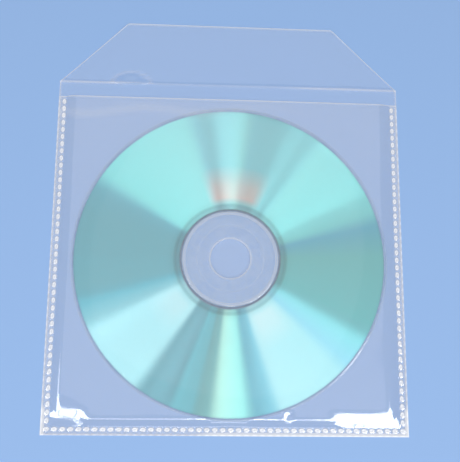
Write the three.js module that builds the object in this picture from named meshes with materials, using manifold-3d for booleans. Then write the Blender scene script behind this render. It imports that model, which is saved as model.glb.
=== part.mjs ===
// A clear film sleeve for a disc. It lies on a table with its flap open and a recordable disc
// inside it, read side up. Two films are welded together along a dotted line down the left side,
// along the bottom and up the right side. The back film is longer than the front one: it runs on
// past the mouth to a crease, and beyond the crease it is the flap.
//
// Millimetres. +Z is up from the table, +Y runs from the welded bottom edge to the flap, and +X
// is to the right. The origin is on the table, under the middle of the whole outline.

import * as THREE from "three";
import { mergeGeometries, mergeVertices } from "three/addons/utils/BufferGeometryUtils.js";
import Module from "manifold-3d";

const wasm = await Module();
wasm.setup();

// The disc
const discDiameter = 120;
const discThickness = 1.2;
const discHoleDiameter = 15;
const discEdgeBevel = 0.15;
const layerInnerDiameter = 38.4;
const layerRimMargin = 1.0;
const layerThickness = 0.1;
const layerClearance = 0.3;
const stackRingDiameter = 35;
const stackRingWidth = 0.8;
const stackRingHeight = 0.15;
const discSides = 80;

// The sleeve around the disc
const filmThickness = 0.1;
const pocketSlack = 9.6;
const discShift = 0.75;
const discSeat = 3.0;
const mouthOverlap = 3.6;
const creaseSetback = 6.2;
const filmClearance = 0.05;
const rimClearance = 0.5;

// The dotted weld
const weldMargin = 2.2;
const weldDotPitch = 2.9;
const weldDotLength = 2.0;
const weldDotWidth = 1.4;
const weldDotHeight = 0.2;
const weldDotTaper = 0.6;
const weldDotSides = 6;
const weldFlatBorder = 0.2;

// The mouth, the crease and the flap
const mouthLipWidth = 1.2;
const mouthLiftShare = 0.9;
const creaseHalfWidth = 1.2;
const creaseHeight = 0.3;
const flapDepth = 25;
const flapSideCut = 26;
const flapCornerRadius = 4;
const flapRise = 1.5;

// How finely the films are divided
const stepsPerSide = 22;
const slopeSteps = 4;
const flapRows = 7;
const cornerSteps = 3;
const filmColumns = 12;

// What follows from the driving dimensions
const discRadius = discDiameter / 2;
const pocketWidth = discDiameter + pocketSlack;
const sleeveWidth = pocketWidth + 2 * weldMargin;
const right = sleeveWidth / 2;
const left = -right;
const mouthHeight = weldMargin + discSeat + discDiameter + mouthOverlap;
const creaseFromBottom = mouthHeight + creaseSetback;
const outlineLength = creaseFromBottom + flapDepth;
const bottom = -outlineLength / 2;
const mouth = bottom + mouthHeight;
const crease = bottom + creaseFromBottom;
const flapTop = crease + flapDepth;
const discCentre = new THREE.Vector2(discShift, bottom + weldMargin + discSeat + discRadius);
const discFloor = filmThickness;
const discTop = discFloor + discThickness;
const filmOverDisc = discTop + stackRingHeight + filmClearance;
const weldHalfWidth = weldDotWidth / 2 + weldFlatBorder;
const weldReach = weldMargin + weldHalfWidth;

// A closed geometry from a list of corner points and a list of triangles between them
function geometryFrom(points, triangles) {
  const geometry = new THREE.BufferGeometry();
  geometry.setAttribute("position", new THREE.Float32BufferAttribute(points.flat(), 3));
  geometry.setIndex(triangles.flat());
  return geometry;
}

// A film: the lower face is given by its points and triangles, and the upper face lies one film
// thickness above it. The walls stand on the edges that only one triangle has.
function filmFrom(points, triangles) {
  const count = points.length;
  const upper = points.map(([x, y, z]) => [x, y, z + filmThickness]);
  const faces = [];
  const edges = new Map();
  for (const [a, b, c] of triangles) {
    faces.push([a, c, b], [a + count, b + count, c + count]);
    for (const [from, to] of [[a, b], [b, c], [c, a]]) {
      if (!edges.delete(`${to} ${from}`)) edges.set(`${from} ${to}`, [from, to]);
    }
  }
  for (const [from, to] of edges.values()) {
    faces.push([from, to, to + count], [from, to + count, from + count]);
  }
  return geometryFrom([...points, ...upper], faces);
}

// Two triangles for each cell between two neighbouring rows of points
function strip(lowerStart, upperStart, count, closed) {
  const triangles = [];
  const cells = closed ? count : count - 1;
  for (let i = 0; i < cells; i += 1) {
    const next = (i + 1) % count;
    const a = lowerStart + i;
    const b = lowerStart + next;
    const c = upperStart + next;
    const d = upperStart + i;
    triangles.push([a, b, c], [a, c, d]);
  }
  return triangles;
}

// A solid turned about the disc's axis, from a closed outline of [radius, height] pairs
function turned(outline) {
  const profile = [...outline, outline[0]].map(([radius, height]) => new THREE.Vector2(radius, height));
  const geometry = new THREE.LatheGeometry(profile, discSides);
  geometry.rotateX(Math.PI / 2);
  geometry.translate(discCentre.x, discCentre.y, 0);
  return geometry;
}

function solidOf(geometry) {
  const bare = geometry.clone();
  bare.deleteAttribute("normal");
  bare.deleteAttribute("uv");
  const merged = mergeVertices(bare);
  return new wasm.Manifold(new wasm.Mesh({
    numProp: 3,
    vertProperties: new Float32Array(merged.attributes.position.array),
    triVerts: new Uint32Array(merged.index.array),
  }));
}

function geometryOf(solid) {
  const { vertProperties, triVerts } = solid.getMesh();
  const geometry = new THREE.BufferGeometry();
  geometry.setAttribute("position", new THREE.BufferAttribute(vertProperties, 3));
  geometry.setIndex(new THREE.BufferAttribute(triVerts, 1));
  return geometry;
}

// The disc's clear moulding: a bevelled plate with the spindle hole, a stacking ring near the hub
// on the read side, and a shallow recess underneath that holds the reflective layer
function discSubstrate() {
  const holeRadius = discHoleDiameter / 2;
  const recessTop = discFloor + layerThickness;
  const recessInner = layerInnerDiameter / 2 - layerClearance;
  const recessOuter = discRadius - layerRimMargin + layerClearance;
  const ringInner = (stackRingDiameter - stackRingWidth) / 2;
  const ringOuter = (stackRingDiameter + stackRingWidth) / 2;
  const ringCrest = stackRingDiameter / 2;
  return turned([
    [holeRadius, discFloor],
    [recessInner, discFloor],
    [recessInner, recessTop],
    [recessOuter, recessTop],
    [recessOuter, discFloor],
    [discRadius - discEdgeBevel, discFloor],
    [discRadius, discFloor + discEdgeBevel],
    [discRadius, discTop - discEdgeBevel],
    [discRadius - discEdgeBevel, discTop],
    [ringOuter, discTop],
    [ringCrest, discTop + stackRingHeight],
    [ringInner, discTop],
    [holeRadius + discEdgeBevel, discTop],
    [holeRadius, discTop - discEdgeBevel],
  ]);
}

// The dye, metal and lacquer, as one thin ring on the label side
function reflectiveLayer() {
  const inner = layerInnerDiameter / 2;
  const outer = discRadius - layerRimMargin;
  const top = discFloor + layerThickness;
  return turned([
    [inner, discFloor],
    [outer, discFloor],
    [outer, top],
    [inner, top],
  ]);
}

// The back film lies flat under the disc, humps at the crease and curls up a little at the flap.
// Each row of points has a place along the sleeve, a half width and a height.
function backRows() {
  const halfWidth = sleeveWidth / 2;
  const topHalfWidth = halfWidth - flapSideCut;
  const sideSlope = Math.atan2(flapSideCut, flapDepth);
  const halfWidthAt = (y) => halfWidth - flapSideCut * (y - crease) / flapDepth;
  const heightAt = (y) => flapRise * ((y - crease) / flapDepth) ** 2;
  const rows = [
    [bottom, halfWidth, 0],
    [crease - creaseHalfWidth, halfWidth, 0],
    [crease, halfWidth, creaseHeight],
    [crease + creaseHalfWidth, halfWidthAt(crease + creaseHalfWidth), heightAt(crease + creaseHalfWidth)],
  ];

  // The corner's arc touches the slanting side and the flap's free edge
  const arcCentreX = topHalfWidth - flapCornerRadius * Math.tan((Math.PI / 2 - sideSlope) / 2);
  const arcCentreY = flapTop - flapCornerRadius;
  const arcStartY = arcCentreY + flapCornerRadius * Math.sin(sideSlope);
  const firstRow = crease + creaseHalfWidth;
  for (let i = 1; i < flapRows; i += 1) {
    const y = THREE.MathUtils.lerp(firstRow, arcStartY, i / flapRows);
    rows.push([y, halfWidthAt(y), heightAt(y)]);
  }
  for (let i = 0; i <= cornerSteps; i += 1) {
    const angle = THREE.MathUtils.lerp(sideSlope, Math.PI / 2, i / cornerSteps);
    const y = arcCentreY + flapCornerRadius * Math.sin(angle);
    rows.push([y, arcCentreX + flapCornerRadius * Math.cos(angle), heightAt(y)]);
  }
  return rows;
}

function backSheet() {
  const rows = backRows();
  const count = filmColumns + 1;
  const points = [];
  const triangles = [];
  rows.forEach(([y, halfWidth, height], row) => {
    for (let column = 0; column < count; column += 1) {
      points.push([halfWidth * (2 * column / filmColumns - 1), y, height]);
    }
    if (row > 0) triangles.push(...strip((row - 1) * count, row * count, count, false));
  });
  return filmFrom(points, triangles);
}

// The front film's outline, anticlockwise from its bottom left corner, in equal steps on each side
function frontOutline() {
  const corners = [[left, bottom], [right, bottom], [right, mouth], [left, mouth]];
  return corners.flatMap(([x, y], side) => {
    const [nextX, nextY] = corners[(side + 1) % corners.length];
    return Array.from({ length: stepsPerSide }, (_, step) => {
      const share = step / stepsPerSide;
      return new THREE.Vector2(x + (nextX - x) * share, y + (nextY - y) * share);
    });
  });
}

// Where the line from the disc's centre to a point of the outline meets the inner edge of the
// weld, or the inner edge of the lip along the mouth
function seamPoint(outer) {
  const ray = outer.clone().sub(discCentre);
  const sideReach = ray.x > 0 ? right - weldReach - discCentre.x : discCentre.x - left - weldReach;
  const endReach = ray.y > 0 ? mouth - mouthLipWidth - discCentre.y : discCentre.y - bottom - weldReach;
  const share = Math.min(sideReach / Math.abs(ray.x), endReach / Math.abs(ray.y));
  return ray.multiplyScalar(share).add(discCentre);
}

// The front film is flat on the back film along the welds, and arches along the open mouth
function edgeHeight(point) {
  if (point.y < mouth - mouthLipWidth - filmThickness) return filmThickness;
  const halfSpan = right - weldReach;
  const across = Math.min(1, Math.abs(point.x) / halfSpan);
  const lift = mouthLiftShare * (filmOverDisc - filmThickness);
  return filmThickness + lift * Math.cos(across * Math.PI / 2) ** 2;
}

// The front film is level over the disc, slopes down from the rim to the welds in slopeSteps
// rings, and ends in the flat border that is welded
function frontFilm() {
  const outline = frontOutline();
  const count = outline.length;
  const rimRadius = discRadius + rimClearance;
  const rings = Array.from({ length: slopeSteps + 2 }, () => []);
  for (const outer of outline) {
    const seam = seamPoint(outer);
    const rim = outer.clone().sub(discCentre).setLength(rimRadius).add(discCentre);
    for (let step = 0; step <= slopeSteps; step += 1) {
      const share = step / slopeSteps;
      const place = rim.clone().lerp(seam, share);
      const fall = THREE.MathUtils.smoothstep(share, 0, 1);
      const height = THREE.MathUtils.lerp(filmOverDisc, edgeHeight(seam), fall);
      rings[step].push([place.x, place.y, height]);
    }
    rings[slopeSteps + 1].push([outer.x, outer.y, edgeHeight(outer)]);
  }
  const points = [...rings.flat(), [discCentre.x, discCentre.y, filmOverDisc]];
  const centre = points.length - 1;
  const triangles = [];
  for (let i = 0; i < count; i += 1) triangles.push([centre, i, (i + 1) % count]);
  for (let ring = 0; ring <= slopeSteps; ring += 1) {
    triangles.push(...strip((ring + 1) * count, ring * count, count, true));
  }
  return filmFrom(points, triangles);
}

// One dot of the weld: a low tapered oval, sunk halfway into the film that it is pressed from
function weldDot(x, y, turn) {
  const sunk = filmThickness / 2;
  const height = weldDotHeight + sunk;
  const dot = new THREE.CylinderGeometry(weldDotTaper / 2, 1 / 2, height, weldDotSides);
  dot.rotateX(Math.PI / 2);
  dot.scale(weldDotWidth, weldDotLength, 1);
  dot.rotateZ(turn);
  dot.translate(x, y, 2 * filmThickness - sunk + height / 2);
  return dot;
}

// A straight run of dots from one place to another, at the nearest whole number of pitches
function weldRun(from, to, turn) {
  const gaps = Math.max(1, Math.round(from.distanceTo(to) / weldDotPitch));
  return Array.from({ length: gaps + 1 }, (_, i) => {
    const place = from.clone().lerp(to, i / gaps);
    return weldDot(place.x, place.y, turn);
  });
}

function weldDots() {
  const leftLine = left + weldMargin;
  const rightLine = right - weldMargin;
  const bottomLine = bottom + weldMargin;
  const sideStart = bottomLine + weldDotPitch;
  const sideEnd = mouth - mouthLipWidth - weldDotLength / 2;
  const along = (x) => [new THREE.Vector2(x, sideStart), new THREE.Vector2(x, sideEnd)];
  const across = [new THREE.Vector2(leftLine, bottomLine), new THREE.Vector2(rightLine, bottomLine)];
  return mergeGeometries([
    ...weldRun(...along(leftLine), 0),
    ...weldRun(...along(rightLine), 0),
    ...weldRun(...across, Math.PI / 2),
  ]);
}

function frontSheet() {
  return geometryOf(solidOf(frontFilm()).add(solidOf(weldDots())));
}

const clearFilm = new THREE.MeshStandardMaterial({
  color: 0xdfe4e6,
  roughness: 0.2,
  metalness: 0,
  transparent: true,
  opacity: 0.35,
});
const clearPolycarbonate = new THREE.MeshStandardMaterial({
  color: 0xcfdde0,
  roughness: 0.08,
  metalness: 0,
  transparent: true,
  opacity: 0.4,
});
const dyedMetal = new THREE.MeshStandardMaterial({
  color: 0xa2dde2,
  roughness: 0.25,
  metalness: 0.9,
});

function named(name, geometry, material) {
  geometry.computeVertexNormals();
  const mesh = new THREE.Mesh(geometry, material);
  mesh.name = name;
  return mesh;
}

const sleeve = new THREE.Group();
sleeve.add(
  named("back_sheet", backSheet(), clearFilm),
  named("front_sheet", frontSheet(), clearFilm),
  named("disc_substrate", discSubstrate(), clearPolycarbonate),
  named("disc_reflective_layer", reflectiveLayer(), dyedMetal),
);

export default sleeve;
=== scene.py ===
# %% [markdown]
# # A clear film sleeve with a disc in it
# The real thing is two sheets of clear polypropylene, welded together with a dotted hot wheel on
# three sides. The back sheet runs on past the mouth as a flap. A recordable disc lies inside with
# its read side up. The solids of all this come in from the frame, and the work here is the look:
# film that drapes over the disc, welds that catch the light, and a disc that splits it into streaks.

# %% Load the frame
import math

import bmesh
import bpy
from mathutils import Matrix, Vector, noise


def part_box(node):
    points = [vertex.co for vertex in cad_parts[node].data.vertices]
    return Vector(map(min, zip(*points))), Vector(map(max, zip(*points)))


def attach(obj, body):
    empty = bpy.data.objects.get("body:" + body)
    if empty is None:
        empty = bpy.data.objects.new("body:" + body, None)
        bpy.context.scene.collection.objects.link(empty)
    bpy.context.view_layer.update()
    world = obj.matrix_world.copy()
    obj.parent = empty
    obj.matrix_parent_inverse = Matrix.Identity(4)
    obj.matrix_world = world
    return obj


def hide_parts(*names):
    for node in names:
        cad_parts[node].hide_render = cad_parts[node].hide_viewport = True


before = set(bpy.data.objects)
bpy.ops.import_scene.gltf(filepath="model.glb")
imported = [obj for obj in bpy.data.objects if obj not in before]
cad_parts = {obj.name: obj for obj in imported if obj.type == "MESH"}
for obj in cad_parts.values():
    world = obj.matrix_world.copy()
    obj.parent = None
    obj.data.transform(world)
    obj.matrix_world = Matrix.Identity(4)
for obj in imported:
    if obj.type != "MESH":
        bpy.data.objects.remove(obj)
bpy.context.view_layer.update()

# %% [markdown]
# Every place is worked out from the frame, so that the fine pieces lie exactly where the solids do.
# The crease and the welds have no box of their own, so their distances are given here.

# %% Places on the sleeve
MM = 0.001
back_low, back_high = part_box("back_sheet")
front_low, front_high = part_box("front_sheet")
disc_low, disc_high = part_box("disc_substrate")
layer_low, layer_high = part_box("disc_reflective_layer")

LEFT, RIGHT = back_low.x, back_high.x
BOTTOM, MOUTH, FLAP_TOP = back_low.y, front_high.y, back_high.y
CREASE = MOUTH + 6.2 * MM
FLAP_DEPTH = FLAP_TOP - CREASE
FLAP_SIDE_CUT = 26 * MM
FILM = 0.1 * MM
DISC = Vector(((disc_low.x + disc_high.x) / 2, (disc_low.y + disc_high.y) / 2, 0))
DISC_RADIUS = (disc_high.x - disc_low.x) / 2
DISC_THICKNESS = 1.2 * MM
DISC_FLOOR = disc_low.z
DISC_TOP = DISC_FLOOR + DISC_THICKNESS
OVER_DISC = front_high.z - FILM
WELD_LINE = 2.2 * MM
WELD_PITCH = 2.9 * MM
WELD_REACH = 3.1 * MM
TINY = 0.02 * MM
print("sleeve", round((RIGHT - LEFT) / MM, 1), "wide, mouth", round((MOUTH - BOTTOM) / MM, 1), "up")
print("disc at", [round(part / MM, 2) for part in DISC])


# %% [markdown]
# A few helpers make the work by hand shorter. Everything is deselected before a primitive is added,
# because an operator acts on all that is selected. Corners and faces are picked in code, by place.

# %% Helpers for modelling
SMOOTH_BELOW = math.radians(35)
OUTWARDS = 1


def deselect_all():
    if bpy.context.object and bpy.context.object.mode != "OBJECT":
        bpy.ops.object.mode_set(mode="OBJECT")
    bpy.ops.object.select_all(action="DESELECT")


def begin(name):
    """Names the primitive that was just added and opens it in edit mode."""
    piece = bpy.context.object
    piece.name = piece.data.name = name
    bpy.ops.object.mode_set(mode="EDIT")
    return piece


def pick(piece, kind, wanted):
    """Selects the verts or the faces for which wanted(place) is true, and nothing else."""
    bpy.ops.mesh.select_mode(type={"verts": "VERT", "faces": "FACE"}[kind])
    bpy.ops.mesh.select_all(action="DESELECT")
    mesh = bmesh.from_edit_mesh(piece.data)
    for item in getattr(mesh, kind):
        place = item.co if kind == "verts" else item.calc_center_median()
        item.select_set(bool(wanted(place)))
    mesh.select_flush_mode()
    bmesh.update_edit_mesh(piece.data)


def move_up(piece, height):
    """Lifts each corner by height(x, y)."""
    mesh = bmesh.from_edit_mesh(piece.data)
    for corner in mesh.verts:
        corner.co.z += height(corner.co.x, corner.co.y)
    bmesh.update_edit_mesh(piece.data)


def paint(piece, layer, value):
    """Stores value(x, y) on each corner as a named attribute, for a material to read."""
    attribute = piece.data.attributes.new(layer, "FLOAT", "POINT")
    for index, corner in enumerate(piece.data.vertices):
        attribute.data[index].value = value(corner.co.x, corner.co.y)


def thicken(sheet):
    """Gives a sheet the thickness of the film, on its upper side."""
    wall = sheet.modifiers.new("film thickness", "SOLIDIFY")
    wall.thickness = FILM
    wall.offset = OUTWARDS


def finish_piece(piece):
    """Applies the modifiers, shades the piece smooth and lets it ride on the only body."""
    deselect_all()
    piece.select_set(True)
    bpy.context.view_layer.objects.active = piece
    for modifier in list(piece.modifiers):
        bpy.ops.object.modifier_apply(modifier=modifier.name)
    bpy.ops.object.shade_smooth_by_angle(angle=SMOOTH_BELOW)
    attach(piece, "root")
    print(piece.name, "has", len(piece.data.polygons), "faces")


def smoothstep(low, high, value):
    share = min(1.0, max(0.0, (value - low) / (high - low)))
    return share * share * (3 - 2 * share)


def bell(distance, width):
    """1 where distance is 0, and nearly 0 from twice the width."""
    return math.exp(-(distance / width) ** 2)


# %% [markdown]
# ## The films
# A film is a sheet a tenth of a millimetre thick, so it is modelled as a fine grid that gets its
# thickness from Solidify at the very end. The welds and the cut edges are whiter than the rest, because
# hot film clouds as it sets. That whiteness is stored on the corners, for the film's material, and
# so are painted highlights: glare low on the front film, a sheen band under the mouth and the arch.

# %% The weld's pattern of dots
DOT_HALF_LENGTH, DOT_HALF_WIDTH = 1.0 * MM, 0.72 * MM
DOT_SEARCH = 2.5 * MM
# A dot's outline is at radius 1, and its rim is a little inside that
RIM_RADIUS, RIM_WIDTH, FAR = 0.72, 0.26, 9.0
MILKY_MIDDLE = 0.6


def dots_between(start, end):
    """Places at the nearest whole number of pitches from start to end."""
    gaps = round((end - start) / WELD_PITCH)
    return [start + (end - start) * i / gaps for i in range(gaps + 1)]


weld_rows = [("y", LEFT + WELD_LINE), ("y", RIGHT - WELD_LINE), ("x", BOTTOM + WELD_LINE)]
side_dots = dots_between(BOTTOM + WELD_LINE + WELD_PITCH, MOUTH - WELD_LINE)
bottom_dots = dots_between(LEFT + WELD_LINE, RIGHT - WELD_LINE)


def nearest_gap(places, value):
    """The signed distance from value to the nearest of evenly spaced places."""
    step = places[1] - places[0]
    index = min(len(places) - 1, max(0, round((value - places[0]) / step)))
    return value - places[index]


def dot_radius(x, y):
    """How far from the middle of the nearest dot, where 1 is the dot's own outline."""
    nearest = FAR
    for along, line in weld_rows:
        across = (x if along == "y" else y) - line
        if abs(across) > DOT_SEARCH:
            continue
        places = side_dots if along == "y" else bottom_dots
        gap = nearest_gap(places, y if along == "y" else x)
        nearest = min(nearest, math.hypot(gap / DOT_HALF_LENGTH, across / DOT_HALF_WIDTH))
    return nearest


def dot_rim(x, y):
    """1 on the raised rim of a dot, falling away to 0 inside and outside it."""
    return bell(dot_radius(x, y) - RIM_RADIUS, RIM_WIDTH)


def dot_melt(x, y):
    """The whiteness of a dot: full on its rim, less in its middle, where the film is pressed thin."""
    return max(dot_rim(x, y), MILKY_MIDDLE * (dot_radius(x, y) < RIM_RADIUS))


print(2 * len(side_dots) + len(bottom_dots), "weld dots")

# %% [markdown]
# ## The front film
# A grid as wide as the sleeve and as high as the mouth. Its outer cells on the welded sides are
# divided finely enough to carry the dots.

# %% Make the front film
CELLS_ACROSS, CELLS_UP = 150, 144
DOT_CUTS = 2
FINE_BAND = WELD_REACH + 0.1 * MM


def beside_welds(place, reach):
    return place.x < LEFT + reach or place.x > RIGHT - reach or place.y < BOTTOM + reach


deselect_all()
bpy.ops.mesh.primitive_grid_add(
    x_subdivisions=CELLS_ACROSS, y_subdivisions=CELLS_UP, size=1, location=(0, 0, 0))
front = begin("front_film")
bpy.ops.transform.resize(value=(RIGHT - LEFT, MOUTH - BOTTOM, 1))
bpy.ops.transform.translate(value=((LEFT + RIGHT) / 2, (BOTTOM + MOUTH) / 2, FILM))
pick(front, "faces", lambda place: beside_welds(place, FINE_BAND))
bpy.ops.mesh.subdivide(number_cuts=DOT_CUTS)
bpy.ops.mesh.select_face_by_sides(number=4, type="GREATER", extend=False)
bpy.ops.mesh.quads_convert_to_tris(quad_method="BEAUTY", ngon_method="BEAUTY")
print("front film is", round((RIGHT - LEFT) / MM, 1), "by", round((MOUTH - BOTTOM) / MM, 1), "mm")

# %% [markdown]
# The film is pulled up onto the disc like a tent: level over the disc, nearly level in the corners,
# where its own stiffness holds it, and straight down to the welds. Along the bottom it comes down
# steeply on the left and gently on the right, and the two slopes meet in a fold beside the disc. The
# gentle slope is the one that mirrors a window, and a short pleat in the lower left corner does the
# same. A little Smooth rounds the ridges.

# %% Pull it up onto the disc
INSIDE_LEFT, INSIDE_RIGHT, INSIDE_BOTTOM = LEFT + WELD_REACH, RIGHT - WELD_REACH, BOTTOM + WELD_REACH
HELD_RADIUS = DISC_RADIUS + 0.3 * MM
LEFT_SLOPE_RUN, RIGHT_SLOPE_RUN = 1.6 * MM, 3.4 * MM
BOTTOM_LEFT_RUN, BOTTOM_RIGHT_RUN = 2.3 * MM, 6.2 * MM
# The fold runs from the disc's rim down to the weld
FOLD_START, FOLD_END = DISC + Vector((30.5, -53.4, 0)) * MM, DISC + Vector((43, -61.6, 0)) * MM
FOLD_ALONG = (FOLD_END - FOLD_START).normalized()
FOLD_HALF_WIDTH = 0.8 * MM
# In the lower left corner the film leans towards the side weld, and a short pleat crosses it
LEAN_END, LEAN_SLOPE, LEAN_LOW, LEAN_HIGH = LEFT + 14 * MM, 0.045, BOTTOM + 10 * MM, BOTTOM + 14 * MM
PLEAT_TOP, PLEAT_DEPTH, PLEAT_DROP = BOTTOM + 9.7 * MM, 3.6 * MM, 0.9 * MM
PLEAT_END_LOW, PLEAT_END_HIGH = LEAN_END - 1 * MM, LEAN_END + 3 * MM
# Away from the disc the free film sags, a fifth as much on the left as on the right
CORNER_SAG, SAG_RUN, SAG_ON_LEFT, SAG_BLEND = 0.15 * MM, 14 * MM, 0.2, 20 * MM
RELAX_STEPS = 5


def slope_run(offset, centre_to_weld, longest):
    """How far the film runs from the weld before it is level, where the disc's rim may come sooner."""
    if abs(offset) >= HELD_RADIUS:
        return longest
    return min(longest, centre_to_weld - math.sqrt(HELD_RADIUS ** 2 - offset ** 2))


def corner_droop(x, y):
    """How far the lean and the pleat let the film down in the lower left corner."""
    lean = LEAN_SLOPE * max(0.0, LEAN_END - x) * (1 - smoothstep(LEAN_LOW, LEAN_HIGH, y))
    below = min(1.0, max(0.0, (PLEAT_TOP - y) / PLEAT_DEPTH))
    return lean + PLEAT_DROP * below * (1 - smoothstep(PLEAT_END_LOW, PLEAT_END_HIGH, x))


def past_fold(x, y):
    """1 on the right of the fold, 0 on the left of it and below it."""
    across = (y - FOLD_START.y) * FOLD_ALONG.x - (x - FOLD_START.x) * FOLD_ALONG.y
    return smoothstep(-FOLD_HALF_WIDTH, FOLD_HALF_WIDTH, across)


def tent(x, y):
    """The height of the film: its level there, or less where it comes down to one of the welds."""
    off_disc = math.hypot(x - DISC.x, y - DISC.y) - DISC_RADIUS
    sag_share = SAG_ON_LEFT + (1 - SAG_ON_LEFT) * smoothstep(-SAG_BLEND, SAG_BLEND, x)
    level = OVER_DISC - FILM - CORNER_SAG * smoothstep(0, SAG_RUN, off_disc) * sag_share
    level = max(TINY, level - corner_droop(x, y))
    from_left = (x - INSIDE_LEFT) / slope_run(y - DISC.y, DISC.x - INSIDE_LEFT, LEFT_SLOPE_RUN)
    from_right = (INSIDE_RIGHT - x) / slope_run(y - DISC.y, INSIDE_RIGHT - DISC.x, RIGHT_SLOPE_RUN)
    bottom_run = BOTTOM_LEFT_RUN + (BOTTOM_RIGHT_RUN - BOTTOM_LEFT_RUN) * past_fold(x, y)
    from_bottom = (y - INSIDE_BOTTOM) / slope_run(x - DISC.x, DISC.y - INSIDE_BOTTOM, bottom_run)
    return level * min(1.0, max(0.0, min(from_left, from_right, from_bottom)))


def free_film(place):
    off_disc = math.hypot(place.x - DISC.x, place.y - DISC.y) - HELD_RADIUS
    return off_disc > 0 and not beside_welds(place, WELD_REACH + TINY)


move_up(front, tent)
pick(front, "verts", free_film)
bpy.ops.mesh.vertices_smooth(factor=0.5, repeat=RELAX_STEPS, xaxis=False, yaxis=False, zaxis=True)
print("film lies", round(OVER_DISC / MM, 2), "mm up over the disc")

# %% [markdown]
# Then come the small things: the raised rims of the dots, soft waves where the film is slack, and a
# pinch beside the disc's lower right rim, which glints.

# %% Waves, dots and a pinch
RIM_HEIGHT = 0.16 * MM
WAVE_LENGTH, WAVE_SEED = 21 * MM, Vector((4.1, 2.3, 0.7))
WAVE_ON_DISC, WAVE_OFF_DISC = 0.02, 0.12
WAVE_FROM_WELD = 6 * MM
WAVE_LOW_RADIUS, WAVE_HIGH_RADIUS = DISC_RADIUS + 1 * MM, DISC_RADIUS + 9 * MM
PINCH = DISC + Vector((21.9, -58.0, 0)) * MM
PINCH_DEPTH, PINCH_REACH = 0.55 * MM, 1.4 * MM


def front_waves(x, y):
    """Slack in the film: soft waves off the disc, hardly any on it, and none in the welds."""
    from_weld = min(x - LEFT, RIGHT - x, y - BOTTOM) - WELD_REACH
    free = smoothstep(0, WAVE_FROM_WELD, from_weld)
    off_disc = smoothstep(WAVE_LOW_RADIUS, WAVE_HIGH_RADIUS, math.hypot(x - DISC.x, y - DISC.y))
    wave = noise.noise(Vector((x, y, 0)) / WAVE_LENGTH + WAVE_SEED)
    return -free * (WAVE_ON_DISC + WAVE_OFF_DISC * off_disc) * MM * (0.5 + 0.5 * wave)


def pinch(x, y):
    return -PINCH_DEPTH * bell(math.hypot(x - PINCH.x, y - PINCH.y), PINCH_REACH)


def front_height(x, y):
    return RIM_HEIGHT * dot_rim(x, y) + front_waves(x, y) + pinch(x, y)


move_up(front, front_height)
bpy.ops.object.mode_set(mode="OBJECT")
print("front film lifted to", round(max(corner.co.z for corner in front.data.vertices) / MM, 3), "mm")

# %% [markdown]
# The cut edge is whitest where the hot wheel left a bead on it, once for each dot. Low in the corners
# and along the bottom, a painted highlight stands for the windows' glare on the slopes and the seam,
# and just under the mouth a wavy pale band is painted sheen. The film is also a little whiter
# towards the mouth.

# %% Whiten its edges and welds, and paint its glare and sheen
BEAD_BETWEEN, BEAD_RISE, BEAD_LENGTH = 0.55, 0.45, 0.8 * MM
CUT_EDGE, FRONT_EDGE_FADE, BACK_EDGE_FADE = 0.1 * MM, 0.75 * MM, 0.6 * MM
# Painted highlight for the windows' glare, on the sides low down and along the bottom from just left of
# the middle
GLARE_LOW, GLARE_HIGH = 9 * MM, 11 * MM
GLARE_FULL, SIDE_GLARE_FADE, BOTTOM_GLARE_FADE = 1.0 * MM, 1.7 * MM, 1.6 * MM
BOTTOM_GLARE_START, BOTTOM_GLARE_FULL = -14 * MM, -4 * MM
SIDE_GLARE, BOTTOM_GLARE = 0.55, 0.5
PRESSED_STRIP, STRIP_START = 0.1, 0.8 * WELD_REACH
# The painted sheen band: how far it wavers, where it lies below the mouth and where it ends on the
# right
BAND_WAVER, BAND_WAVE_LENGTH, BAND_TILT = 1.2 * MM, 7 * MM, 0.03
BAND_WHITENESS, BAND_BELOW, BAND_WIDTH = 0.13, 4.5 * MM, 1.8 * MM
BAND_FULL, BAND_END = -20 * MM, 40 * MM
MOUTH_WHITENING, MOUTH_WHITENING_REACH = 0.05, 60 * MM


def bead(x, y):
    """1 at each bead on the cut edge, and less between them."""
    along_bottom = abs(nearest_gap(bottom_dots, x)) if y - BOTTOM < WELD_REACH else FAR
    along_side = abs(nearest_gap(side_dots, y)) if min(x - LEFT, RIGHT - x) < WELD_REACH else FAR
    return BEAD_BETWEEN + BEAD_RISE * bell(min(along_bottom, along_side), BEAD_LENGTH)


def front_edge(x, y):
    """The whiteness of the front film's cut edge."""
    from_edge = min(x - LEFT, RIGHT - x, y - BOTTOM, MOUTH - y)
    return bead(x, y) * (1 - smoothstep(CUT_EDGE, FRONT_EDGE_FADE, from_edge))


def painted_edge_glare(x, y):
    """A painted highlight for the windows' glare: in the lower corners and along the bottom."""
    low_corner = 1 - smoothstep(GLARE_LOW, GLARE_HIGH, y - BOTTOM)
    beside_cut = 1 - smoothstep(GLARE_FULL, SIDE_GLARE_FADE, min(x - LEFT, RIGHT - x))
    above_cut = 1 - smoothstep(GLARE_FULL, BOTTOM_GLARE_FADE, y - BOTTOM)
    along_bottom = smoothstep(BOTTOM_GLARE_START, BOTTOM_GLARE_FULL, x)
    return max(SIDE_GLARE * low_corner * beside_cut, BOTTOM_GLARE * above_cut * along_bottom)


def pressed_strip(x, y):
    """The faint whiteness of the strip that the wheel pressed."""
    from_edge = min(x - LEFT, RIGHT - x, y - BOTTOM)
    return PRESSED_STRIP * (1 - smoothstep(STRIP_START, WELD_REACH, from_edge))


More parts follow.
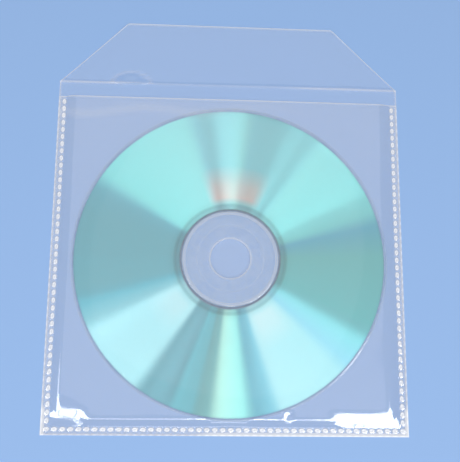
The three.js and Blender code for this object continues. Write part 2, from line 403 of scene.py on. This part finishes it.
def front_whiteness_and_glare(x, y):
    """The whiteness of all but the cut edge: dots, pressed strip and a whiter mouth, with painted glare
    low down and a painted sheen band.
    """
    # Painted sheen: a wavy pale band just under the mouth, where the slack film catches light
    waver = BAND_WAVER * math.sin(x / BAND_WAVE_LENGTH) + BAND_TILT * x
    band = BAND_WHITENESS * bell(MOUTH - BAND_BELOW + waver - y, BAND_WIDTH)
    near_mouth = MOUTH_WHITENING * smoothstep(MOUTH - MOUTH_WHITENING_REACH, MOUTH, y)
    near_mouth += band * (1 - smoothstep(BAND_FULL, BAND_END, x))
    # The painted glare on the lower edges and corners is added to the whiteness here
    return min(1.0, max(dot_melt(x, y), painted_edge_glare(x, y)) + pressed_strip(x, y) + near_mouth)


paint(front, "edge", front_edge)
# The weld attribute also carries the painted glare and the painted sheen band
paint(front, "weld", front_whiteness_and_glare)
thicken(front)
finish_piece(front)
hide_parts("front_sheet")

# %% [markdown]
# ## The back film and its flap
# The same sort of grid, as long as the whole outline. Rows of cells are added along the crease, so
# that the fold has a tight hump where the film was once bent over. The flap is drawn in towards its
# free edge, as the die cuts it, and its two corners are rounded with a vertex bevel.

# %% Make the back film
BACK_CELLS_ACROSS, BACK_CELLS_UP = 130, 150
CREASE_ROWS = (-1.5, -0.8, -0.35, 0, 0.35, 0.8, 1.5)
CORNER_SEARCH, CORNER_ROUND, CORNER_STEPS = 0.2 * MM, 1.7 * MM, 6
EDGE_WIDTH = 0.3 * MM

deselect_all()
bpy.ops.mesh.primitive_grid_add(
    x_subdivisions=BACK_CELLS_ACROSS, y_subdivisions=BACK_CELLS_UP, size=1, location=(0, 0, 0))
back = begin("back_film")
bpy.ops.transform.resize(value=(RIGHT - LEFT, FLAP_TOP - BOTTOM, 1))
bpy.ops.transform.translate(value=((LEFT + RIGHT) / 2, (BOTTOM + FLAP_TOP) / 2, 0))
for offset in CREASE_ROWS:
    bpy.ops.mesh.select_all(action="SELECT")
    bpy.ops.mesh.bisect(plane_co=(0, CREASE + offset * MM, 0), plane_no=(0, 1, 0))


def narrow(piece):
    """Draws the flap in towards its free edge, row by row."""
    mesh = bmesh.from_edit_mesh(piece.data)
    for corner in mesh.verts:
        beyond = max(0.0, corner.co.y - CREASE) / FLAP_DEPTH
        corner.co.x *= 1 - beyond * FLAP_SIDE_CUT / RIGHT
    bmesh.update_edit_mesh(piece.data)


def flap_corner(place):
    return any(math.dist((place.x, place.y), (x, FLAP_TOP)) < CORNER_SEARCH
               for x in (LEFT + FLAP_SIDE_CUT, RIGHT - FLAP_SIDE_CUT))


narrow(back)
pick(back, "verts", flap_corner)
bpy.ops.mesh.bevel(offset=CORNER_ROUND, segments=CORNER_STEPS, affect="VERTICES")
bpy.ops.mesh.select_all(action="SELECT")
bpy.ops.mesh.inset(thickness=EDGE_WIDTH, use_boundary=True)
bpy.ops.object.mode_set(mode="OBJECT")
print("back film outline", [round(size / MM, 1) for size in back.dimensions])

# %% [markdown]
# The flap was folded once and remembers it: it lifts off the table towards its free edge, and a
# shallow buckle or two is left along the crease.

# %% Shape the flap and the crease
CREASE_HEIGHT, CREASE_WIDTH = 0.22 * MM, 0.8 * MM
FLAP_CURL = 1.25 * MM
SLACK, SLACK_LENGTH, SLACK_SEED = 0.22 * MM, 26 * MM, Vector((1.7, 8.2, 3.1))
SLACK_START, SLACK_RUN = 1 * MM, 8 * MM
# Each buckle: its place across, its distance past the crease, its length, its depth and its height
BUCKLES = (
    (18 * MM, 1.0 * MM, 16 * MM, 2.6 * MM, 0.2),
    (47 * MM, 1.2 * MM, 8 * MM, 2.4 * MM, 0.2))
BUCKLE_START = -4 * MM
ARCH_AT, ARCH_HALF_WIDTH, ARCH_HEIGHT = -39 * MM, 7.5 * MM, 4.6 * MM
ARCH_RISE, ARCH_TOP, ARCH_FOOT = 0.5 * MM, 0.3, 1.25


def arch(x, y):
    """How far from the middle of the arched buckle on the crease, where 1 is its outline."""
    return math.hypot((x - ARCH_AT) / ARCH_HALF_WIDTH, (y - CREASE) / ARCH_HEIGHT)


def back_height(x, y):
    """How far the back film lies off the table."""
    beyond = y - CREASE
    ridge = CREASE_HEIGHT * bell(beyond, CREASE_WIDTH)
    curl = FLAP_CURL * max(0.0, beyond / FLAP_DEPTH) ** 2
    wave = 0.5 + 0.5 * noise.noise(Vector((x, y, 0)) / SLACK_LENGTH + SLACK_SEED)
    slack = SLACK * smoothstep(0, SLACK_RUN, beyond + SLACK_START) * wave
    buckles = sum(
        rise * MM * math.exp(-((x - at) / length) ** 2 - ((beyond - past) / depth) ** 2)
        for at, past, length, depth, rise in BUCKLES)
    dome = ARCH_RISE * (1 - smoothstep(ARCH_TOP, ARCH_FOOT, arch(x, y))) if beyond > 0 else 0
    return ridge + curl + slack + dome + buckles * smoothstep(BUCKLE_START, 0, beyond)


bpy.ops.object.mode_set(mode="EDIT")
move_up(back, back_height)
bpy.ops.object.mode_set(mode="OBJECT")
print("flap lifts", round(max(corner.co.z for corner in back.data.vertices) / MM, 2), "mm")

# %% [markdown]
# The crease has worn white at its ends. The bent outline of the arch has a thin painted highlight,
# where the buckle catches light.

# %% Whiten its edges and creases
BACK_EDGE = 0.7
WORN_MIDDLE, WORN_START, WORN_FULL = -6 * MM, 24 * MM, 42 * MM
CREASE_WHITENESS, CREASE_END_WHITENESS, CREASE_LINE = 0.14, 0.26, 0.5 * MM
# A thin painted highlight runs along the arch's bent outline
ARCH_HIGHLIGHT, ARCH_HIGHLIGHT_LINE = 0.2, 0.12
SLANT = math.hypot(FLAP_SIDE_CUT, FLAP_DEPTH)


def back_edge(x, y):
    """The whiteness of the back film's cut edge."""
    to_slant = min(((x - LEFT) * FLAP_DEPTH - (y - CREASE) * FLAP_SIDE_CUT) / SLANT,
                   ((RIGHT - x) * FLAP_DEPTH - (y - CREASE) * FLAP_SIDE_CUT) / SLANT)
    from_edge = min(x - LEFT, RIGHT - x, y - BOTTOM, FLAP_TOP - y, to_slant)
    return BACK_EDGE * (1 - smoothstep(CUT_EDGE, BACK_EDGE_FADE, from_edge))


def back_whiteness_and_highlight(x, y):
    """The whiteness of the crease and of the weld under the front film, and a painted highlight on the
    arch's outline.
    """
    strip = pressed_strip(x, y) if y < MOUTH else 0
    worn_ends = smoothstep(WORN_START, WORN_FULL, abs(x - WORN_MIDDLE))
    crease = (CREASE_WHITENESS + CREASE_END_WHITENESS * worn_ends) * bell(y - CREASE, CREASE_LINE)
    # Painted highlight on the arch's outline
    bend = ARCH_HIGHLIGHT * bell(arch(x, y) - 1, ARCH_HIGHLIGHT_LINE) if y > CREASE else 0
    return strip + crease + bend


paint(back, "edge", back_edge)
paint(back, "weld", back_whiteness_and_highlight)
thicken(back)
finish_piece(back)
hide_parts("back_sheet")

# %% [markdown]
# ## The disc
# Both parts of the disc are turned shapes, so each is one small upright profile that is spun round
# the spindle's axis. The moulding has softened corners, a stacking ring and the fine steps that a
# stamper's holder leaves round the hub.

# %% A turned ring
TURN_STEPS = 256
SAME_PLACE = TINY / 10


def spun(name, inner, outer, low, high, cuts, shape=None):
    """A ring with an upright rectangular profile, cut at the radii in cuts and shaped by shape."""
    deselect_all()
    bpy.ops.mesh.primitive_plane_add(size=1, location=(0, 0, 0))
    ring = begin(name)
    bpy.ops.transform.resize(value=(outer - inner, high - low, 1))
    bpy.ops.transform.rotate(
        value=-math.pi / 2, orient_axis="X", center_override=(0, 0, 0), orient_type="GLOBAL")
    bpy.ops.transform.translate(value=((inner + outer) / 2, 0, (low + high) / 2))
    for radius in cuts:
        bpy.ops.mesh.select_all(action="SELECT")
        bpy.ops.mesh.bisect(plane_co=(radius, 0, 0), plane_no=(1, 0, 0))
    bpy.ops.mesh.select_all(action="SELECT")
    bpy.ops.mesh.delete(type="ONLY_FACE")
    # The cuts leave upright lines inside the profile, which would spin into walls inside the ring
    mesh = bmesh.from_edit_mesh(ring.data)
    inside = [edge for edge in mesh.edges
              if abs(edge.verts[0].co.x - edge.verts[1].co.x) < SAME_PLACE
              and inner + TINY < edge.verts[0].co.x < outer - TINY]
    bmesh.ops.delete(mesh, geom=inside, context="EDGES_FACES")
    if shape:
        shape(mesh)
    bmesh.update_edit_mesh(ring.data)
    bpy.ops.mesh.select_all(action="SELECT")
    bpy.ops.mesh.spin(steps=TURN_STEPS, angle=2 * math.pi, center=(0, 0, 0), axis=(0, 0, 1))
    bpy.ops.mesh.select_all(action="SELECT")
    bpy.ops.mesh.remove_doubles(threshold=SAME_PLACE)
    bpy.ops.mesh.normals_make_consistent(inside=False)
    bpy.ops.transform.translate(value=(DISC.x, DISC.y, 0))
    bpy.ops.object.mode_set(mode="OBJECT")
    return ring


# %% Make the clear moulding
HOLE_RADIUS = 7.5 * MM
# The height of each step on the hub by its radius, both in millimetres
HUB_STEPS = {
    12.4: 0, 12.7: -0.06, 13.0: 0, 16.9: 0, 17.3: 0.15, 17.8: 0.15, 18.2: 0, 18.6: -0.08, 19.0: 0}
PLAIN_CUTS = (30, 45)
SOFTEN, SOFTEN_STEPS = 0.16 * MM, 3


def hub_details(mesh):
    """Lifts the top corners of the profile at the hub's rings, and softens its four outer corners."""
    for corner in mesh.verts:
        if corner.co.z > DISC_TOP - TINY:
            for radius, rise in HUB_STEPS.items():
                if abs(corner.co.x - radius * MM) < TINY:
                    corner.co.z += rise * MM
    corners = [corner for corner in mesh.verts
               if corner.co.x < HOLE_RADIUS + TINY or corner.co.x > DISC_RADIUS - TINY]
    bmesh.ops.bevel(
        mesh, geom=corners, offset=SOFTEN, segments=SOFTEN_STEPS, profile=0.5, affect="VERTICES")


moulding = spun("disc_moulding", HOLE_RADIUS, DISC_RADIUS, DISC_FLOOR, DISC_TOP,
                [radius * MM for radius in (*HUB_STEPS, *PLAIN_CUTS)], hub_details)
finish_piece(moulding)
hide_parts("disc_substrate")

# %% Make the reflective layer
LAYER_INNER = 19.2 * MM
LAYER_OUTER = (layer_high.x - layer_low.x) / 2
LAYER_LIFT = 0.01 * MM
LAYER_CUTS = (21.6, 30, 40, 50)
layer = spun("disc_mirror_layer", LAYER_INNER, LAYER_OUTER, layer_low.z + LAYER_LIFT, layer_high.z,
             [radius * MM for radius in LAYER_CUTS])
finish_piece(layer)
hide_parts("disc_reflective_layer")


# %% [markdown]
# ## Materials
# Colours are written as the hex values that a colour picker shows, and one function turns them into
# the linear numbers that the shaders need.

# %% Helpers for materials
def colour(code):
    """An sRGB hex value such as #a2dde2 as linear red, green and blue, with full alpha."""
    parts = [int(code[i:i + 2], 16) / 255 for i in (1, 3, 5)]
    return tuple(p / 12.92 if p <= 0.04045 else ((p + 0.055) / 1.055) ** 2.4 for p in parts) + (1.0,)


def new_material(name):
    material = bpy.data.materials.new(name)
    material.use_nodes = True
    material.node_tree.nodes.clear()
    return material, material.node_tree


def add(tree, kind, inputs=None, **settings):
    """Adds a node. An input is a plain value, or another node or output to link from."""
    new = tree.nodes.new(kind)
    for name, value in settings.items():
        setattr(new, name, value)
    for name, value in (inputs or {}).items():
        socket = new.inputs[name]
        if isinstance(value, bpy.types.Node):
            tree.links.new(value.outputs[0], socket)
        elif isinstance(value, bpy.types.NodeSocket):
            tree.links.new(value, socket)
        else:
            socket.default_value = value
    return new


def ramp(tree, source, stops):
    """A colour ramp with its stops as (position, hex value) pairs."""
    new = add(tree, "ShaderNodeValToRGB", {"Fac": source})
    elements = new.color_ramp.elements
    while len(elements) < len(stops):
        elements.new(0.5)
    for element, (position, code) in zip(elements, stops):
        element.position = position
        element.color = colour(code)
    return new


def wear(pieces, material):
    """Gives the pieces one material, in place of any that they have."""
    for piece in pieces:
        piece.data.materials.clear()
        piece.data.materials.append(material)
    print(material.name, "has", len(material.node_tree.nodes), "nodes")


# %% [markdown]
# ## Clear cast polypropylene film
# Chilled on a polished roll, so it is clear and glossy, with a faint veil. The veil is what each of
# its faces throws back. Where it was melted, at the welds, the crease and the cut edges, it has gone
# milky, and the material reads that from the two attributes painted above. The same milky white also
# shows the painted glare, the painted sheen band and the painted highlight on the arch.

# %% The film's material
film, tree = new_material("cast_polypropylene_film")
place = add(tree, "ShaderNodeTexCoord").outputs["Object"]
edge = add(tree, "ShaderNodeAttribute", attribute_name="edge").outputs["Fac"]
weld = add(tree, "ShaderNodeAttribute", attribute_name="weld").outputs["Fac"]
# Chill-roll texture: shallow dimples a few millimetres across, which make reflections waver
orange_peel = add(tree, "ShaderNodeTexNoise", {"Vector": place, "Scale": 1 / (9 * MM), "Detail": 2.0})
uneven = add(tree, "ShaderNodeBump", {"Height": orange_peel, "Strength": 0.02, "Distance": 1 * MM})
see_through = add(tree, "ShaderNodeBsdfTransparent", {"Color": colour("#ffffff")})
sheen = add(tree, "ShaderNodeBsdfGlossy", {
    "Color": colour("#ffffff"), "Roughness": 0.09, "Normal": uneven})
# A face seen from inside the film is left clear, and the index is raised from 1.49 to 2.0, so that
# the one outer face throws back what both faces of a real sheet do
inside = add(tree, "ShaderNodeNewGeometry").outputs["Backfacing"]
reflect = add(tree, "ShaderNodeFresnel", {"IOR": 2.0, "Normal": uneven})
clear = add(tree, "ShaderNodeMixShader", {"Fac": reflect, 1: see_through, 2: sheen})
milky = add(tree, "ShaderNodeBsdfPrincipled", {
    "Base Color": colour("#fafbfe"), "Roughness": 0.3, "IOR": 1.49})
# How milky each place is, painted highlights included: most at the welds, less at the cut edges, and a
# trace everywhere
edge_share = add(tree, "ShaderNodeMath", {0: edge, 1: 0.6}, operation="MULTIPLY")
weld_and_glare_share = add(tree, "ShaderNodeMath", {0: weld, 1: 0.9}, operation="MULTIPLY")
whiteness_and_highlight = add(tree, "ShaderNodeMath", {0: edge_share, 1: weld_and_glare_share}, operation="ADD")
milky_and_highlight_share = add(tree, "ShaderNodeMath", {0: whiteness_and_highlight, 1: 0.05}, operation="ADD", use_clamp=True)
outside = add(tree, "ShaderNodeMixShader", {"Fac": milky_and_highlight_share, 1: clear, 2: milky})
surface = add(tree, "ShaderNodeMixShader", {"Fac": inside, 1: outside, 2: see_through})
add(tree, "ShaderNodeOutputMaterial", {"Surface": surface})
wear((front, back), film)


# %% [markdown]
# ## Clear moulded polycarbonate
# Injection moulded against a mirror-polished plate, so it is the clearest and glossiest thing here.
# Both of the disc's materials change with the distance from the spindle's axis.

# %% The distance from the spindle's axis
def radius_share(tree):
    """The distance from the disc's middle as a share of its radius, and the place it comes from."""
    place = add(tree, "ShaderNodeTexCoord").outputs["Object"]
    centred = add(tree, "ShaderNodeMapping", {"Vector": place, "Location": tuple(-DISC)})
    flat = add(tree, "ShaderNodeVectorMath", {0: centred, 1: (1, 1, 0)}, operation="MULTIPLY")
    distance = add(tree, "ShaderNodeVectorMath", {0: flat}, operation="LENGTH").outputs["Value"]
    return add(tree, "ShaderNodeMath", {0: distance, 1: DISC_RADIUS}, operation="DIVIDE"), centred


def at_radii(stops):
    """Ramp stops given by their radius in millimetres."""
    return [(radius * MM / DISC_RADIUS, code) for radius, code in stops]


# %% The moulding's material
polycarbonate, tree = new_material("moulded_polycarbonate")
share = radius_share(tree)[0]
# The steps at the stacking ring and the hub bend light away, which is painted as fine dark and pale
# rings.
# Pale milky rings at the hole's edge and the outer rim are painted highlights, where the edges catch
# light, and a fine dark ring just inside the outer rim is painted shade along the disc's edge.
tint = ramp(tree, share, at_radii([
    (7.9, "#fdfefe"), (18.2, "#fbfdfd"), (18.6, "#c4d0d4"), (19.0, "#c4d0d4"), (19.2, "#fdfefe"),
    (59.0, "#fdfefe"), (59.2, "#d4dee6"), (59.5, "#fdfefe")]))
# Milky share, with painted highlights at the hole's edge and the outer rim
rings = ramp(tree, share, at_radii([
    (7.5, "#b4b4b4"), (8.1, "#949494"), (8.4, "#484848"), (12.4, "#484848"), (12.7, "#808080"),
    (13.0, "#4c4c4c"), (16.9, "#4c4c4c"), (17.2, "#b8b8b8"), (17.5, "#606060"), (17.9, "#c0c0c0"),
    (18.3, "#303030"), (19.2, "#202020"), (59.4, "#202020"), (59.75, "#686868"), (60, "#686868")]))
see_through = add(tree, "ShaderNodeBsdfTransparent", {"Color": tint})
sheen = add(tree, "ShaderNodeBsdfGlossy", {"Color": colour("#ffffff"), "Roughness": 0.04})
reflect = add(tree, "ShaderNodeFresnel", {"IOR": 1.62})
clear = add(tree, "ShaderNodeMixShader", {"Fac": reflect, 1: see_through, 2: sheen})
milky = add(tree, "ShaderNodeBsdfPrincipled", {
    "Base Color": colour("#eef2f8"), "Roughness": 0.3, "IOR": 1.585})
outside = add(tree, "ShaderNodeMixShader", {"Fac": rings, 1: clear, 2: milky})
inside = add(tree, "ShaderNodeNewGeometry").outputs["Backfacing"]
surface = add(tree, "ShaderNodeMixShader", {"Fac": inside, 1: outside, 2: see_through})
add(tree, "ShaderNodeOutputMaterial", {"Surface": surface})
wear((moulding,), polycarbonate)

# %% [markdown]
# ## Dyed metal behind a fine groove
# The groove runs round and round the disc, some six hundred turns in a millimetre. It is far too fine
# to show, so it is drawn by what it does. Light that meets it is spread out along the radius and not
# across it, so each window turns into a pair of streaks, one each side of the hub. The anisotropy
# of the metal does that. A ring of colours gives the dye's cyan, and on top of it painted reflections
# of the streaks and of the tints into which the groove splits the light: greener between the streaks,
# sky blue at their edges and palest in their middles, fixed on the disc.

# %% The dye's tints and painted streak reflections, by their angle round the disc, anticlockwise from +X
DYE_AND_STREAK_TINTS = [
    (2, "#8af8f6"), (14, "#78e8ff"), (19, "#94ffff"), (51, "#9effff"), (55, "#98faff"),
    (80, "#98f6ff"), (84, "#a6ffff"), (90, "#a2faff"), (104, "#9cf4ff"), (109, "#a2ffff"),
    (146, "#94ffff"), (152, "#84eeff"), (163, "#88eefc"), (192, "#88f0fe"), (198, "#76ecff"),
    (209, "#b4f6ff"), (233, "#b4f4fc"), (237, "#74c6d6"), (247, "#74c4d4"), (250, "#80ecfa"),
    (256, "#80e6f2"), (258, "#84d6da"), (262, "#88d8da"), (265, "#c0fff2"), (276, "#a0fcf8"),
    (280, "#7ce2f6"), (286, "#86e4f8"), (290, "#baf8ff"), (314, "#b4f8ff"), (319, "#98ecff"),
    (336, "#84ffff"), (343, "#8affff")]
# Next to the hub a painted reflection gives the warm end of the groove's spectrum over a sixth of the
# way round, and opposite that a painted highlight where two streaks run together into white
NEAR_HUB_HIGHLIGHT = [
    (62, "#000000"), (70, "#f0f0f0"), (104, "#f0f0f0"), (111, "#000000"),
    (205, "#000000"), (214, "#909090"), (226, "#909090"), (236, "#000000"),
    (286, "#000000"), (294, "#b0b0b0"), (308, "#b0b0b0"), (318, "#000000")]
NEAR_HUB_HIGHLIGHT_TINTS = [
    (67, "#ffece4"), (75, "#ffe0d4"), (82, "#fff0e8"), (88, "#f6fff6"), (95, "#fff0e8"),
    (101, "#ffdcd0"), (110, "#f4ffff"), (330, "#f4ffff")]


def round_the_disc(stops):
    """Ramp stops for a radial gradient, which starts at -X and runs anticlockwise."""
    return sorted((((angle + 180) % 360) / 360, code) for angle, code in stops)


print(len(DYE_AND_STREAK_TINTS), "tints round the disc and", len(NEAR_HUB_HIGHLIGHT_TINTS), "next to the hub")

# %% The layer's material
BARE_SHARE = 0.14
dyed_metal, tree = new_material("dyed_sputtered_metal")
share, centred = radius_share(tree)
turn = add(tree, "ShaderNodeTexGradient", {"Vector": centred}, gradient_type="RADIAL").outputs["Fac"]
# The dye's colour, with painted reflections of the streaks round the disc
dye_and_streak_hues = ramp(tree, turn, round_the_disc(DYE_AND_STREAK_TINTS))
# The bare metal and the run-in track inside the recorded area are duller
bands = ramp(tree, share, at_radii([
    (19.2, "#b8c0c4"), (19.6, "#dcdcde"), (20.2, "#d4dade"), (20.6, "#c4d0d2"), (21.2, "#ccd8d8"),
    (22.0, "#f4f8f8"), (24, "#ffffff"), (58.3, "#ffffff"), (59, "#e4ecf0")]))
toned = add(tree, "ShaderNodeVectorMath", {0: dye_and_streak_hues, 1: bands}, operation="MULTIPLY")
# Painted reflection next to the hub: warm tints, and a white patch where two streaks meet
hub_highlight_angles = ramp(tree, turn, round_the_disc(NEAR_HUB_HIGHLIGHT))
hub_highlight_reach = ramp(tree, share, at_radii([
    (21.4, "#404040"), (24, "#ffffff"), (29, "#e8e8e8"), (37, "#000000")]))
hub_highlight_share = add(tree, "ShaderNodeMath", {0: hub_highlight_angles, 1: hub_highlight_reach}, operation="MULTIPLY")
hub_highlight_hues = ramp(tree, turn, round_the_disc(NEAR_HUB_HIGHLIGHT_TINTS))
# The mix node's sockets share their names between data types, so they are linked by number
blend = add(tree, "ShaderNodeMix", data_type="RGBA")
for socket, source in ((0, hub_highlight_share), (6, toned), (7, hub_highlight_hues)):
    tree.links.new(source.outputs[0], blend.inputs[socket])
# These tints carry the dye's colour and the painted streak and hub reflections
tints = blend.outputs[2]
groove = add(tree, "ShaderNodeTangent", direction_type="RADIAL", axis="Z")
streaks = add(tree, "ShaderNodeBsdfAnisotropic", {
    "Color": tints, "Roughness": 0.3, "Anisotropy": 0.83, "Tangent": groove})
metal = add(tree, "ShaderNodeBsdfPrincipled", {
    "Base Color": tints, "Metallic": 1.0, "Roughness": 0.5})
surface = add(tree, "ShaderNodeMixShader", {"Fac": BARE_SHARE, 1: streaks, 2: metal})
add(tree, "ShaderNodeOutputMaterial", {"Surface": surface})
wear((layer,), dyed_metal)

# %% [markdown]
# ## Stage
# A plain pale floor. It is a soft blue, because clear film on a white floor hardly shows at all.

# %% Floor and world
FLOOR_SIZE, FLOOR_GAP = 4, 0.1 * MM
deselect_all()
bpy.ops.mesh.primitive_plane_add(size=FLOOR_SIZE, location=(0, 0, -FLOOR_GAP))
floor = bpy.context.object
floor.name = "floor"
floor_paint, tree = new_material("matt_painted_board")
board = add(tree, "ShaderNodeBsdfPrincipled", {
    "Base Color": colour("#9abbe8"), "Roughness": 0.9, "Specular IOR Level": 0.1})
add(tree, "ShaderNodeOutputMaterial", {"Surface": board})
wear((floor,), floor_paint)

world = bpy.data.worlds.new("soft_room")
bpy.context.scene.world = world
world.use_nodes = True
sky = world.node_tree.nodes["Background"]
sky.inputs["Color"].default_value = colour("#eef2f8")
sky.inputs["Strength"].default_value = 0.35


# %% [markdown]
# ## Light
# The streaks on the disc show where the light comes from: each window gives one pair of streaks, as
# wide in angle as the window is. A wide one stands at the lower right and a narrower one at the lower
# left, with two slim ones and a dim one between and beside them. The wall between them and a strip
# of wall below are pale too. High up beyond the flap the ceiling gives the soft rest.

# %% Windows
def window(name, azimuth, elevation, distance, width, height, watts):
    """A soft lamp that faces the disc. Azimuth is counted anticlockwise from +X, in degrees."""
    turn, rise = math.radians(azimuth), math.radians(elevation)
    away = Vector((math.cos(turn) * math.cos(rise), math.sin(turn) * math.cos(rise), math.sin(rise)))
    lamp = bpy.data.lights.new(name, "AREA")
    lamp.shape, lamp.size, lamp.size_y, lamp.energy = "RECTANGLE", width, height, watts
    holder = bpy.data.objects.new(name, lamp)
    bpy.context.scene.collection.objects.link(holder)
    holder.location = DISC + away * distance
    holder.rotation_euler = away.to_track_quat("Z", "Y").to_euler()


window("window_right", 321, 58, 1.0, 0.52, 0.22, 2.9)
window("window_left", 212, 58, 1.0, 0.34, 0.22, 1.9)
window("window_left_dim", 190, 58, 1.0, 0.16, 0.22, 0.36)
window("window_middle", 277, 60, 1.0, 0.14, 0.22, 0.7)
window("window_small", 240, 55.5, 1.05, 0.1, 0.22, 0.34)
window("wall_between", 259, 58, 1.05, 0.76, 0.22, 1.2)
window("low_wall", 272, 22, 1.5, 0.6, 0.35, 1.1)
window("soft_ceiling", 79, 77, 1.0, 0.7, 0.8, 0.75)
print(len(bpy.data.lights), "lamps")

# %% [markdown]
# ## Camera
# It stands almost over the sleeve, a little towards the bottom edge and to the left, and looks down.

# %% Camera
CAMERA_FROM_DISC = Vector((-15.7, -49.6, 286.4)) * MM
CAMERA_TURNS = (0.208, -0.053, 0.020)
FOCAL_PIXELS = 765.4
PICTURE_LONG_SIDE = 462
SENSOR_WIDTH = 36
NEAREST_SHOWN = 10 * MM
camera_data = bpy.data.cameras.new("camera")
camera = bpy.data.objects.new("camera", camera_data)
bpy.context.scene.collection.objects.link(camera)
camera_data.sensor_width = SENSOR_WIDTH
camera_data.lens = SENSOR_WIDTH * FOCAL_PIXELS / PICTURE_LONG_SIDE
camera_data.clip_start = NEAREST_SHOWN
camera.rotation_mode = "ZYX"
camera.rotation_euler = CAMERA_TURNS
camera.location = DISC + CAMERA_FROM_DISC
bpy.context.scene.camera = camera
bpy.context.scene.view_settings.view_transform = "Standard"
# Light has to pass all the clear faces above the table twice
bpy.context.scene.cycles.transparent_max_bounces = 24
print("lens", round(camera_data.lens, 1), "mm")
